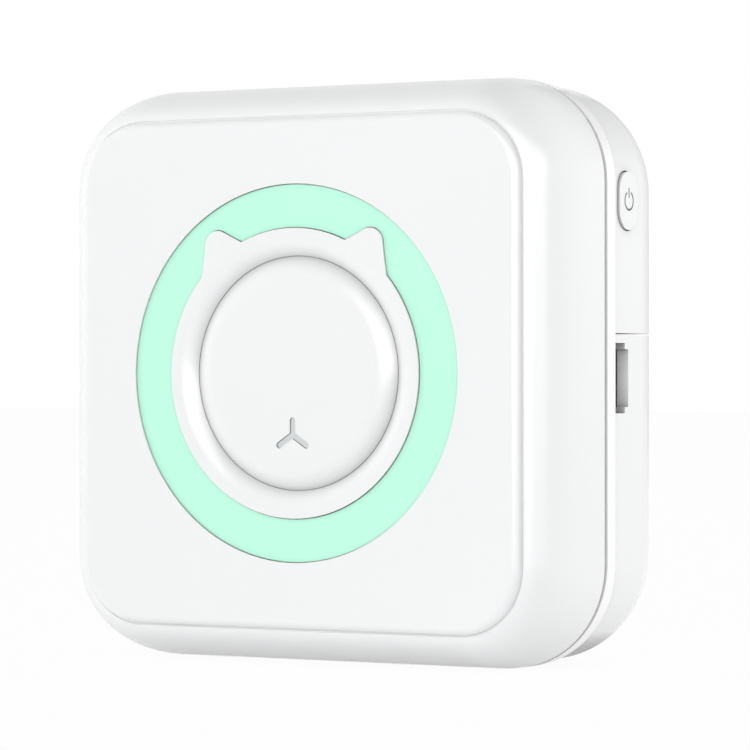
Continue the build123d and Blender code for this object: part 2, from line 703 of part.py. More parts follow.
with BuildPart() as motor_screws:
    for depth, z in motor_ears:
        rod((cheek_inner - 1.0, cheek_outer), depth, z, 0.7)
        rod((cheek_outer, cheek_outer + 0.6), depth, z, 1.3)
        block((cheek_outer + 0.3, cheek_outer + 0.7), (depth - 0.15, depth + 0.15), (z - 0.8, z + 0.8),
              mode=Mode.SUBTRACT)
        block((cheek_outer + 0.3, cheek_outer + 0.7), (depth - 0.8, depth + 0.8), (z - 0.15, z + 0.15),
              mode=Mode.SUBTRACT)

# Print frame: two cheeks, the wall that backs the head springs and the foot between them
with BuildPart() as print_frame:
    for side in ((cheek_inner, cheek_outer), mirror_x((cheek_inner, cheek_outer))):
        plate_shape(side, ((3.0, 16.6), (3.0, 9.6), (5.2, 5.8), (9.0, 4.3), (25.0, 4.3), (27.0, 6.0),
                           (28.0, 8.0), (28.0, 14.0), (25.5, 16.6), (19.0, 16.6), (band_front, 20.0),
                           (band_front, 25.4), (13.6, 25.4), (13.6, 17.6), (12.0, 16.6)))
    for side in ((cheek_inner, 38.2), mirror_x((cheek_inner, 38.2))):
        block(side, (lug_front, band_front), (20.4, 25.4))
    for x, z in print_frame_screw_places:
        post(x, z, screw_shank + screw_clearance, (lug_front - 1, band_front), mode=Mode.SUBTRACT)
    block((-cheek_inner, cheek_inner), (9.0, 16.4), (3.9, 5.0))
    block((-cheek_inner, cheek_inner - motor_length - 1.3), (spring_seat_depth, spring_seat_depth + spring_seat_wall),
          (4.5, 16.6))
    seat = bush_radius + seat_clearance
    for side in ((cheek_inner, cheek_outer), mirror_x((cheek_inner, cheek_outer))):
        rod(side, platen_depth, platen_height, seat, mode=Mode.SUBTRACT)
        mouth = []
        for reach, half in ((0, seat), (8, seat + 1.1), (8, -seat - 1.1), (0, -seat)):
            mouth.append((platen_depth + reach * leave_depth - half * leave_height,
                          platen_height + reach * leave_height + half * leave_depth))
        plate_shape(side, mouth, mode=Mode.SUBTRACT)
        rod(side, pivot_depth, pivot_height, pivot_pin_radius, mode=Mode.SUBTRACT)
    rod((cheek_inner, cheek_outer), idler_depth, idler_height, gear_axle_radius, mode=Mode.SUBTRACT)
    rod((cheek_inner, cheek_outer), motor_depth, motor_height, 1.6, mode=Mode.SUBTRACT)
    for depth, z in motor_ears:
        rod((cheek_inner, cheek_outer), depth, z, 0.7, mode=Mode.SUBTRACT)

# Thermal head: ceramic strip on a heat sink that rocks on a pin and is pushed by two springs
with BuildPart() as head_pivot_pin:
    rod((-cheek_outer, cheek_outer), pivot_depth, pivot_height, pivot_pin_radius)

with BuildPart() as head_heat_sink:
    block((-sink_length / 2, sink_length / 2), (sink_front, sink_rear),
          (platen_height - 5.5, pivot_height - pivot_pin_radius - 0.2))
    for eye in ((sink_length / 2 - 2, sink_length / 2), mirror_x((sink_length / 2 - 2, sink_length / 2))):
        rod(eye, pivot_depth, pivot_height, pivot_eye_radius + 0.2)
        block(eye, (sink_front, sink_rear), (pivot_height - 2, pivot_height))
        rod(eye, pivot_depth, pivot_height, pivot_pin_radius + run_clearance, mode=Mode.SUBTRACT)

with BuildPart() as print_head:
    block((-head_length / 2, head_length / 2), (sink_rear, sink_rear + head_thickness),
          (platen_height - 4.2, platen_height + 3.2))
    block((-ridge_length / 2, ridge_length / 2), (sink_rear + head_thickness - 0.1, head_face),
          (platen_height - 0.6, platen_height + 0.6))

with BuildPart() as head_springs:
    spring_start = spring_seat_depth + spring_seat_wall + spring_wire
    spring_length = sink_front - spring_end_gap - spring_wire - spring_start
    for x in (-spring_spacing / 2, spring_spacing / 2):
        with BuildLine():
            coil = Helix(spring_length / spring_turns, spring_length, spring_radius - spring_wire,
                         center=(x, front_y + spring_start, spring_height), direction=(0, 1, 0))
        with BuildSketch(Plane(origin=coil @ 0, z_dir=coil % 0)):
            Circle(spring_wire)
        sweep(path=coil, is_frenet=True)

# Toothed tear bar on the back of the band, beside the paper exit
with BuildPart() as tear_bar:
    half = exit_width / 2
    teeth = int(exit_width / tear_tooth / 2)
    zigzag = [(-half, 3.4), (half, 3.4), (half, 1.4)]
    for tooth in range(teeth):
        pitch = exit_width / teeth
        zigzag.append((half - (tooth + 0.5) * pitch, 0.7))
        zigzag.append((half - (tooth + 1) * pitch, 1.4))
    with BuildSketch(face_plane(band_rear)):
        Polygon(*[(x, z - centre) for x, z in zigzag], align=None)
    extrude(amount=-tear_bar_thickness)

# Paper bin behind the face, open at the back for the roll
with BuildPart() as paper_bin:
    arc_wall((-bay_half - 0.1, bay_half + 0.1), 180, 270 + bay_floor_past_bottom)
    block((-bay_half - 0.1, bay_half + 0.1), (bay_front, bay_front + bay_wall),
          (roll_height, bay_top))
    block((-bay_half - 0.1, bay_half + 0.1), (bay_front, bay_ceiling_depth),
          (bay_ceiling_height, bay_top))
    for side in ((bay_half, bay_half + bay_end_wall), mirror_x((bay_half, bay_half + bay_end_wall))):
        rod(side, roll_depth, roll_height, bay_radius + bay_wall)
        block(side, (bay_front, bay_ceiling_depth), (roll_height, bay_top))
    for side in ((bay_half + 0.5, 38.2), mirror_x((bay_half + 0.5, 38.2))):
        block(side, (lug_front, band_front), (36.0, 42.0))
    for x, z in bin_screw_places:
        post(x, z, screw_shank + screw_clearance, (lug_front - 1, band_front), mode=Mode.SUBTRACT)
    block((-16.5, -13.5), (14.6, 16.4), (roll_height - 18, roll_height - 12), mode=Mode.SUBTRACT)
    block((-centre, centre), (roll_depth + bay_radius - 0.4, 2 * body_depth), (0, body_size), mode=Mode.SUBTRACT)

# Paper roll on its core
with BuildPart() as paper_roll:
    rod((-roll_width / 2, roll_width / 2), roll_depth, roll_height, roll_radius)
    rod((-roll_width / 2, roll_width / 2), roll_depth, roll_height, core_outer, mode=Mode.SUBTRACT)

with BuildPart() as roll_core:
    rod((-roll_width / 2, roll_width / 2), roll_depth, roll_height, core_outer)
    rod((-roll_width / 2, roll_width / 2), roll_depth, roll_height, core_bore, mode=Mode.SUBTRACT)

# Power button with the dark symbol let into it, its plunger and the switch on the board
with BuildSketch(axis_plane(rear_half + button_proud, button_depth, button_height)) as symbol:
    Circle(symbol_radius)
    Circle(symbol_radius - symbol_line, mode=Mode.SUBTRACT)
    with Locations((0, symbol_radius)):
        Rectangle(4 * symbol_line, symbol_radius, mode=Mode.SUBTRACT)
    with Locations((0, symbol_radius - 0.3)):
        Rectangle(symbol_line, symbol_radius)
power_symbol = symbol.sketch

with BuildPart() as power_button:
    button_root = rear_half - wall - 0.8
    pill((button_root - 0.1, rear_half + button_proud), button_depth, button_height, button_length, button_width)
    pill((button_root - button_lip, button_root), button_depth, button_height,
         button_length + 2 * button_lip, button_width + 2 * button_lip)
    extrude(power_symbol, amount=-symbol_depth, mode=Mode.SUBTRACT)

with BuildPart() as button_mark:
    extrude(power_symbol, amount=-symbol_depth)

switch_face = button_root - button_lip - 1.6
with BuildPart() as switch_plunger:
    rod((switch_face - 1.3, button_root - button_lip), button_depth, button_height, 0.8)

with BuildPart() as switch_body:
    block((switch_face - 4.6, switch_face), (board_rear, button_depth + 2.2), (button_height - 3, button_height + 3))
    rod((switch_face - 1.3 - button_travel - 0.1, switch_face), button_depth, button_height, 0.85,
        mode=Mode.SUBTRACT)

# Board with the charging socket, the status light, chips and connectors
with BuildPart() as main_board:
    block((board_left, board_right), (board_front, board_rear), (board_shoulder, board_top))
    block((-20.0, 22.8), (board_front, board_rear), (board_foot, board_shoulder + 0.1))
    block(board_tongue, (board_front, board_rear), (board_tongue_foot, board_shoulder + 3))
    for x, z in board_screw_places:
        post(x, z, screw_shank + screw_clearance, (board_front, board_rear), mode=Mode.SUBTRACT)

with BuildPart() as usb_receptacle:
    pill((socket_mouth - socket_body, socket_mouth), socket_depth, port_height, socket_length, socket_thickness)
    pill((socket_mouth - socket_body + 1, socket_mouth), socket_depth, port_height,
         socket_length - 2 * socket_shell, socket_thickness - 2 * socket_shell, mode=Mode.SUBTRACT)
    block((socket_mouth - socket_body + 0.5, socket_mouth - 0.6), (socket_depth - 0.35, socket_depth + 0.35),
          (port_height - 3.3, port_height + 3.3))
    block((socket_mouth - socket_body + 0.6, socket_mouth - socket_body + 5), (board_rear, socket_depth - 1.3),
          (port_height - 2.4, port_height + 2.4))

with BuildPart() as status_led:
    block((-0.8, 0.8), (board_front - 0.6, board_front), (led_height - 0.5, led_height + 0.5))

with BuildPart() as board_chips:
    for x in (4.0 - chip_spacing, 4.0, 4.0 + chip_spacing):
        block((x - 3.5, x + 3.5), (board_rear, board_rear + 0.9), (board_top - 11.1, board_top - 4.1))

with BuildPart() as board_connectors:
    for x, z in connector_places:
        block((x - 3.0, x + 3.0), (board_front - connector_height, board_front), (z - 1.6, z + 1.6))
    x, z = battery_connector
    block((x - 3.0, x + 3.0), (board_rear, board_rear + connector_height), (z - 1.6, z + 1.6))

# Battery on foam tape inside the back, and its leads
battery_rear = back_inner - battery_tape_thickness
battery_foot = bay_top + 0.8
with BuildPart() as battery_cell:
    block((-battery_width / 2, battery_width / 2), (battery_rear - battery_thickness, battery_rear),
          (battery_foot, battery_foot + battery_length))
    fillet(battery_cell.edges().filter_by(Axis.Z), 1.5)

with BuildPart() as battery_tape:
    for x in (-battery_width / 4, battery_width / 4):
        block((x - 5.0, x + 5.0), (battery_rear, back_inner), (battery_foot + 3, battery_foot + battery_length - 3))

with BuildPart() as battery_leads:
    x, z = battery_connector
    for height in (z - 0.6, z + 0.6):
        wire_path(0.4, (battery_width / 2, battery_rear - 8, height), (x, battery_rear - 8, height),
                  (x, board_rear + connector_height, height))

# Motor leads, up the front of the bin and over its ceiling to the board
with BuildPart() as motor_leads:
    for x in (16.2, 17.1, 18.0, 18.9):
        depth = 8.0 + (x - 16.2)
        wire_path(0.35, (cheek_inner - motor_length, depth, 11.5), (x, depth, 11.5), (x, 3.0, 14.5),
                  (x, 3.0, 51.9), (x, board_front - 1.1, 51.9))

# Flat lead from the head, with the paper sensor on it
ribbon = (-17.5, -12.5)
ribbon_top = pivot_height + pivot_pin_radius + 0.6
with BuildPart() as head_flex:
    ribbon_rear = sink_front - ribbon_clearance
    ribbon_front = bay_front - 0.6
    block(ribbon, (ribbon_rear - 0.2, ribbon_rear), (ribbon_top - 4.3, ribbon_top))
    block(ribbon, (ribbon_front - 0.2, ribbon_rear), (ribbon_top - 0.2, ribbon_top))
    block(ribbon, (ribbon_front - 0.2, ribbon_front), (ribbon_top - 0.2, bay_top + 0.5))
    block(ribbon, (ribbon_front - 0.2, board_front - connector_height), (bay_top + 0.3, bay_top + 0.5))
    block(ribbon, (board_front - connector_height - 0.2, board_front - connector_height), (bay_top + 0.3, bay_top + 2.8))

with BuildPart() as paper_sensor:
    block((-16.2, -13.8), (14.9, 16.1), (ribbon_top, ribbon_top + 1.2))

# Screws
with BuildPart() as cover_screws:
    for x, z in cover_screw_places:
        screw(x, z, web_rear, 8.0, -1)

with BuildPart() as rear_cover_screws:
    for x, z in rear_screw_places:
        screw(x, z, rear_screw_head, 4.0, -1)

with BuildPart() as bin_screws:
    for x, z in bin_screw_places:
        screw(x, z, lug_front, 3.0, 1)

with BuildPart() as print_frame_screws:
    for x, z in print_frame_screw_places:
        screw(x, z, lug_front, 3.0, 1)

with BuildPart() as board_screws:
    for x, z in board_screw_places:
        screw(x, z, board_rear, 3.1, -1)

# One file per piece
front_cover.part.label = "front_cover"
export_step(front_cover.part, "parts/front_cover.step")
accent_ring.part.label = "accent_ring"
export_step(accent_ring.part, "parts/accent_ring.step")
face_dome.part.label = "face_dome"
export_step(face_dome.part, "parts/face_dome.step")
status_light_guide.part.label = "status_light_guide"
export_step(status_light_guide.part, "parts/status_light_guide.step")
middle_frame.part.label = "middle_frame"
export_step(middle_frame.part, "parts/middle_frame.step")
rear_cover.part.label = "rear_cover"
export_step(rear_cover.part, "parts/rear_cover.step")
paper_door.part.label = "paper_door"
export_step(paper_door.part, "parts/paper_door.step")
hinge_pins.part.label = "hinge_pins"
export_step(hinge_pins.part, "parts/hinge_pins.step")
platen_bushes.part.label = "platen_bushes"
export_step(platen_bushes.part, "parts/platen_bushes.step")
platen_shaft.part.label = "platen_shaft"
export_step(platen_shaft.part, "parts/platen_shaft.step")
platen_roller.part.label = "platen_roller"
export_step(platen_roller.part, "parts/platen_roller.step")
platen_gear.part.label = "platen_gear"
export_step(platen_gear.part, "parts/platen_gear.step")
idler_gear.part.label = "idler_gear"
export_step(idler_gear.part, "parts/idler_gear.step")
gear_axle.part.label = "gear_axle"
export_step(gear_axle.part, "parts/gear_axle.step")
gear_clip.part.label = "gear_clip"
export_step(gear_clip.part, "parts/gear_clip.step")
stepper_motor.part.label = "stepper_motor"
export_step(stepper_motor.part, "parts/stepper_motor.step")
motor_shaft.part.label = "motor_shaft"
export_step(motor_shaft.part, "parts/motor_shaft.step")
motor_pinion.part.label = "motor_pinion"
export_step(motor_pinion.part, "parts/motor_pinion.step")
motor_screws.part.label = "motor_screws"
export_step(motor_screws.part, "parts/motor_screws.step")
print_frame.part.label = "print_frame"
export_step(print_frame.part, "parts/print_frame.step")
head_pivot_pin.part.label = "head_pivot_pin"
export_step(head_pivot_pin.part, "parts/head_pivot_pin.step")
head_heat_sink.part.label = "head_heat_sink"
export_step(head_heat_sink.part, "parts/head_heat_sink.step")
print_head.part.label = "print_head"
export_step(print_head.part, "parts/print_head.step")
head_springs.part.label = "head_springs"
export_step(head_springs.part, "parts/head_springs.step")
tear_bar.part.label = "tear_bar"
export_step(tear_bar.part, "parts/tear_bar.step")
paper_bin.part.label = "paper_bin"
export_step(paper_bin.part, "parts/paper_bin.step")
paper_roll.part.label = "paper_roll"
export_step(paper_roll.part, "parts/paper_roll.step")
roll_core.part.label = "roll_core"
export_step(roll_core.part, "parts/roll_core.step")
power_button.part.label = "power_button"
export_step(power_button.part, "parts/power_button.step")
button_mark.part.label = "button_mark"
export_step(button_mark.part, "parts/button_mark.step")
switch_plunger.part.label = "switch_plunger"
export_step(switch_plunger.part, "parts/switch_plunger.step")
switch_body.part.label = "switch_body"
export_step(switch_body.part, "parts/switch_body.step")
main_board.part.label = "main_board"
export_step(main_board.part, "parts/main_board.step")
usb_receptacle.part.label = "usb_receptacle"
export_step(usb_receptacle.part, "parts/usb_receptacle.step")
status_led.part.label = "status_led"
export_step(status_led.part, "parts/status_led.step")
board_chips.part.label = "board_chips"
export_step(board_chips.part, "parts/board_chips.step")
board_connectors.part.label = "board_connectors"
export_step(board_connectors.part, "parts/board_connectors.step")
battery_cell.part.label = "battery_cell"
export_step(battery_cell.part, "parts/battery_cell.step")
battery_tape.part.label = "battery_tape"
export_step(battery_tape.part, "parts/battery_tape.step")
battery_leads.part.label = "battery_leads"
export_step(battery_leads.part, "parts/battery_leads.step")
motor_leads.part.label = "motor_leads"
export_step(motor_leads.part, "parts/motor_leads.step")
head_flex.part.label = "head_flex"
export_step(head_flex.part, "parts/head_flex.step")
paper_sensor.part.label = "paper_sensor"
export_step(paper_sensor.part, "parts/paper_sensor.step")
cover_screws.part.label = "cover_screws"
export_step(cover_screws.part, "parts/cover_screws.step")
rear_cover_screws.part.label = "rear_cover_screws"
export_step(rear_cover_screws.part, "parts/rear_cover_screws.step")
bin_screws.part.label = "bin_screws"
export_step(bin_screws.part, "parts/bin_screws.step")
print_frame_screws.part.label = "print_frame_screws"
export_step(print_frame_screws.part, "parts/print_frame_screws.step")
board_screws.part.label = "board_screws"
export_step(board_screws.part, "parts/board_screws.step")
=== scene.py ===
"""Pocket printer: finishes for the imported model, its stage, lamps and camera."""
import math

import bmesh
import bpy
from bpy.props import FloatProperty, FloatVectorProperty, PointerProperty
from mathutils import Matrix, Vector


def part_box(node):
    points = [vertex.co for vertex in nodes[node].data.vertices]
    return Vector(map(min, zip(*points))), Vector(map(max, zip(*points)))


bl_info = {
    "name": "Pocket Printer",
    "version": (1, 0, 0),
    "blender": (4, 5, 0),
    "location": "3D View > Sidebar > Pocket Printer",
    "description": "Dresses the packed pocket printer and sets up its stage",
    "category": "Object",
}

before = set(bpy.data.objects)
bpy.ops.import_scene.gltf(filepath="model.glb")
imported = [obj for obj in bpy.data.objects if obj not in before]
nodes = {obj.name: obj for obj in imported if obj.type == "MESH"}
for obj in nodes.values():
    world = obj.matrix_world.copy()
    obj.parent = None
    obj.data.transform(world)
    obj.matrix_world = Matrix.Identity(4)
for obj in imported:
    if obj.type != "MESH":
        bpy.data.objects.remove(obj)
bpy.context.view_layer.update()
case_low, case_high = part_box("front_cover")
FACE = case_low.y
MID = (case_low.z + case_high.z) / 2

# Painted shade on the front cover, in metres: inside a radius just past the groove's rim, and behind a
# depth just short of the cover's rear edge. Each fades over this much to both sides.
GROOVE_EDGE = 0.021
GROOVE_FADE = 0.0005
SEAM_DEPTH = 0.0156
SEAM_FADE = 0.0002

# Moulded plastic; SATIN is the outer covers' fine spark texture
SATIN = {"grain": 5200.0, "bump": 0.08, "tint": 0.008}
DRIFT_SCALE = 45.0
DRIFT_DETAIL = 3.0
DRIFT_IN_ROUGHNESS = 0.07
SPARK_DETAIL = 2.0
SPARK_HEIGHT = 0.00002
# Samples of the ambient occlusion that paints shade into creases
CREASE_SHADE_SAMPLES = 8
COAT_ROUGHNESS = 0.12

# Metal
SCRATCH_SCALE = 900.0
SCRATCH_DETAIL = 4.0
SCRATCH_SHADE = 0.82
SCRATCH_IN_ROUGHNESS = 0.2
SCRATCH_STRENGTH = 0.25
SCRATCH_HEIGHT = 0.00001

# Stage: lengths in metres, and light in shares of white
FLOOR_HALF = 3.0
FLOOR_COLOUR = (0.92, 0.92, 0.92, 1.0)
FLOOR_ROUGHNESS = 0.9
FLOOR_WHITE_SHARE = 0.96
WHITE = (1.0, 1.0, 1.0, 1.0)
WORLD_STRENGTH = 0.56
STAND_OFF = 1.2  # of the lamps and the card
CARD_WIDTH = 0.9
CARD_HEIGHT = 1.0
CARD_TURN = math.radians(-2.0)
CARD_COLOUR = (0.45, 0.45, 0.45, 1.0)

# Lamps: name, azimuth and elevation in degrees, width, height, watts, lights diffuse, lights gloss
LAMPS = (
    ("front_lamp", 20.0, 8.0, 0.9, 0.34, 5.2, True, True),
    ("back_lamp", 140.0, 8.0, 0.7, 0.34, 6.7, True, False),
    ("left_lamp", -75.0, 8.0, 0.6, 0.34, 4.6, True, False),
    ("front_card", 38.0, 12.0, 2.7, 1.2, 35.0, False, True),
)

# Camera: how far it stands to the right of the face's centre and below it, across its view
CAMERA_RIGHT = 0.0119135
CAMERA_DOWN = 0.0002491
SENSOR_WIDTH = 36.0


def add(tree, kind, operation=None):
    """Adds a node, with its operation where it has one."""
    node = tree.nodes.new("ShaderNode" + kind)
    if operation:
        node.operation = operation
    return node


def front_crease_shade(tree, place, strength):
    """Where the front cover gets painted shade: round the cap and in the seam at its rear edge."""
    inward = add(tree, "VectorMath", "SUBTRACT")
    inward.inputs[1].default_value = (0.0, 0.0, MID)
    across = add(tree, "VectorMath", "MULTIPLY")
    across.inputs[1].default_value = (1.0, 0.0, 1.0)
    radius = add(tree, "VectorMath", "LENGTH")
    groove = add(tree, "MapRange")
    groove.inputs["From Min"].default_value = GROOVE_EDGE + GROOVE_FADE
    groove.inputs["From Max"].default_value = GROOVE_EDGE - GROOVE_FADE
    groove.inputs["To Max"].default_value = strength
    depth = add(tree, "SeparateXYZ")
    seam = add(tree, "MapRange")
    seam.inputs["From Min"].default_value = FACE + SEAM_DEPTH - SEAM_FADE
    seam.inputs["From Max"].default_value = FACE + SEAM_DEPTH + SEAM_FADE
    seam.inputs["To Max"].default_value = strength
    both = add(tree, "Math", "MAXIMUM")
    tree.links.new(place.outputs["Object"], inward.inputs[0])
    tree.links.new(inward.outputs["Vector"], across.inputs[0])
    tree.links.new(across.outputs["Vector"], radius.inputs[0])
    tree.links.new(radius.outputs["Value"], groove.inputs["Value"])
    tree.links.new(place.outputs["Object"], depth.inputs["Vector"])
    tree.links.new(depth.outputs["Y"], seam.inputs["Value"])
    tree.links.new(groove.outputs["Result"], both.inputs[0])
    tree.links.new(seam.outputs["Result"], both.inputs[1])
    return both.outputs["Value"]


def plastic(name, colour, roughness, grain, bump, tint=0.015, coat=0.0, crease_shade=0.0, reach=0.001,
            zone=None):
    """Moulded plastic: fine spark texture, slow drift in colour and roughness, painted shade in the
    creases.

    grain is the spark's scale per metre and bump its strength. tint is how far the colour drifts.
    crease_shade is how dark the painted shade in the creases goes, reach how near another surface must
    come for it to fall, and zone a function that keeps it to some places.
    """
    material = bpy.data.materials.new(name)
    material.use_nodes = True
    tree = material.node_tree
    shader = tree.nodes["Principled BSDF"]
    place = add(tree, "TexCoord")
    drift = add(tree, "TexNoise")
    drift.inputs["Scale"].default_value = DRIFT_SCALE
    drift.inputs["Detail"].default_value = DRIFT_DETAIL
    blend = add(tree, "Mix")
    blend.data_type = "RGBA"
    low = [c * (1.0 - tint) for c in colour]
    high = [min(1.0, c * (1.0 + tint)) for c in colour]
    blend.inputs["A"].default_value = (*low, 1.0)
    blend.inputs["B"].default_value = (*high, 1.0)
    rough = add(tree, "MapRange")
    rough.inputs["To Min"].default_value = roughness * (1.0 - DRIFT_IN_ROUGHNESS)
    rough.inputs["To Max"].default_value = roughness * (1.0 + DRIFT_IN_ROUGHNESS)
    spark = add(tree, "TexNoise")
    spark.inputs["Scale"].default_value = grain
    spark.inputs["Detail"].default_value = SPARK_DETAIL
    lift = add(tree, "Bump")
    lift.inputs["Strength"].default_value = bump
    lift.inputs["Distance"].default_value = SPARK_HEIGHT
    tree.links.new(place.outputs["Object"], drift.inputs["Vector"])
    tree.links.new(place.outputs["Object"], spark.inputs["Vector"])
    tree.links.new(drift.outputs["Fac"], blend.inputs["Factor"])
    tree.links.new(drift.outputs["Fac"], rough.inputs["Value"])
    shown = blend.outputs["Result"]
    # Painted shade: ambient occlusion darkens the colour in creases and where parts nearly touch.
    if crease_shade:
        shade = add(tree, "AmbientOcclusion")
        shade.samples = CREASE_SHADE_SAMPLES
        shade.inputs["Distance"].default_value = reach
        darker = add(tree, "Mix")
        darker.data_type = "RGBA"
        darker.blend_type = "MULTIPLY"
        if zone:
            tree.links.new(zone(tree, place, crease_shade), darker.inputs["Factor"])
        else:
            darker.inputs["Factor"].default_value = crease_shade
        tree.links.new(shown, darker.inputs["A"])
        tree.links.new(shade.outputs["Color"], darker.inputs["B"])
        shown = darker.outputs["Result"]
    tree.links.new(shown, shader.inputs["Base Color"])
    tree.links.new(rough.outputs["Result"], shader.inputs["Roughness"])
    tree.links.new(spark.outputs["Fac"], lift.inputs["Height"])
    tree.links.new(lift.outputs["Normal"], shader.inputs["Normal"])
    shader.inputs["Specular IOR Level"].default_value = 0.5
    shader.inputs["Coat Weight"].default_value = coat
    shader.inputs["Coat Roughness"].default_value = COAT_ROUGHNESS
    return material


def metal(name, colour, roughness, along=(1.0, 1.0, 1.0)):
    """Turned or ground metal with fine scratches, which run along the axes where along is below 1."""
    material = bpy.data.materials.new(name)
    material.use_nodes = True
    tree = material.node_tree
    shader = tree.nodes["Principled BSDF"]
    place = add(tree, "TexCoord")
    turn = add(tree, "Mapping")
    turn.inputs["Scale"].default_value = along
    scratch = add(tree, "TexNoise")
    scratch.inputs["Scale"].default_value = SCRATCH_SCALE
    scratch.inputs["Detail"].default_value = SCRATCH_DETAIL
    ramp = add(tree, "ValToRGB")
    ramp.color_ramp.elements[0].color = (*[c * SCRATCH_SHADE for c in colour], 1.0)
    ramp.color_ramp.elements[1].color = (*colour, 1.0)
    rough = add(tree, "MapRange")
    rough.inputs["To Min"].default_value = roughness * (1.0 - SCRATCH_IN_ROUGHNESS)
    rough.inputs["To Max"].default_value = roughness * (1.0 + SCRATCH_IN_ROUGHNESS)
    lift = add(tree, "Bump")
    lift.inputs["Strength"].default_value = SCRATCH_STRENGTH
    lift.inputs["Distance"].default_value = SCRATCH_HEIGHT
    tree.links.new(place.outputs["Object"], turn.inputs["Vector"])
    tree.links.new(turn.outputs["Vector"], scratch.inputs["Vector"])
    tree.links.new(scratch.outputs["Fac"], ramp.inputs["Fac"])
    tree.links.new(scratch.outputs["Fac"], rough.inputs["Value"])
    tree.links.new(scratch.outputs["Fac"], lift.inputs["Height"])
    tree.links.new(ramp.outputs["Color"], shader.inputs["Base Color"])
    tree.links.new(rough.outputs["Result"], shader.inputs["Roughness"])
    tree.links.new(lift.outputs["Normal"], shader.inputs["Normal"])
    shader.inputs["Metallic"].default_value = 1.0
    return material


def finish(material, *names):
    """Puts one finish on CAD nodes."""
    for name in names:
        mesh = nodes[name].data
        mesh.materials.clear()
        mesh.materials.append(material)


class PrinterColours(bpy.types.PropertyGroup):
    shell: FloatVectorProperty(
        name="Shell", description="Colour of the covers", subtype="COLOR", size=3,
        min=0.0, max=1.0, default=(0.885, 0.89, 0.895))
    ring: FloatVectorProperty(
        name="Ring", description="Colour of the ring in the face", subtype="COLOR", size=3,
        min=0.0, max=1.0, default=(0.53, 0.985, 0.775))
    band: FloatVectorProperty(
        name="Band", description="Colour of the band round the case", subtype="COLOR", size=3,
        min=0.0, max=1.0, default=(0.975, 0.975, 0.975))
    cap: FloatVectorProperty(
        name="Cap", description="Colour of the round cap in the face", subtype="COLOR", size=3,
        min=0.0, max=1.0, default=(0.88, 0.885, 0.885))


class PrinterStage(bpy.types.PropertyGroup):
    azimuth: FloatProperty(
        name="Azimuth", description="Side from which the camera looks", subtype="ANGLE",
        default=math.radians(30.7552))
    elevation: FloatProperty(
        name="Elevation", description="Height angle of the camera", subtype="ANGLE",
        default=math.radians(0.0865))
    roll: FloatProperty(
        name="Roll", description="Turn of the camera about its own axis", subtype="ANGLE",
        default=math.radians(-0.0269))
    distance: FloatProperty(
        name="Distance", description="Camera to the middle of the face, along the view", unit="LENGTH",
        default=0.5521229)
    lens: FloatProperty(
        name="Lens", description="Focal length on a 36 mm sensor, in millimetres", default=183.6117)


class PRINTER_OT_covers(bpy.types.Operator):
    """Finish the outer covers, the ring, the cap and the band"""

    bl_idname = "printer.covers"
    bl_label = "Covers"

    def execute(self, context):
        colours = context.scene.printer_colours
        # Painted shade: these finishes darken the creases and the gaps between parts.
        finish(plastic("front_white", colours.shell, 0.24, **SATIN, crease_shade=0.8, reach=0.003,
                       zone=front_crease_shade), "front_cover")
        finish(plastic("shell_white", colours.shell, 0.24, **SATIN, crease_shade=0.95, reach=0.005),
               "rear_cover", "paper_door")
        finish(plastic("button_white", colours.shell, 0.24, **SATIN, crease_shade=0.8), "power_button")
        finish(plastic("cap_white", colours.cap, 0.26, **SATIN, crease_shade=1.0, reach=0.004), "face_dome")
        finish(plastic("ring_mint", colours.ring, 0.32, grain=4800.0, bump=0.08, tint=0.008,
                       crease_shade=0.6), "accent_ring")
        finish(plastic("band_gloss", colours.band, 0.16, grain=3800.0, bump=0.05, tint=0.006, coat=0.3,
                       crease_shade=0.6), "middle_frame")
        finish(plastic("mark_grey", (0.10, 0.102, 0.105), 0.45, grain=3800.0, bump=0.1, tint=0.03),
               "button_mark")
        finish(plastic("light_guide", (0.66, 0.69, 0.70), 0.35, grain=4200.0, bump=0.3),
               "status_light_guide")
        return {"FINISHED"}


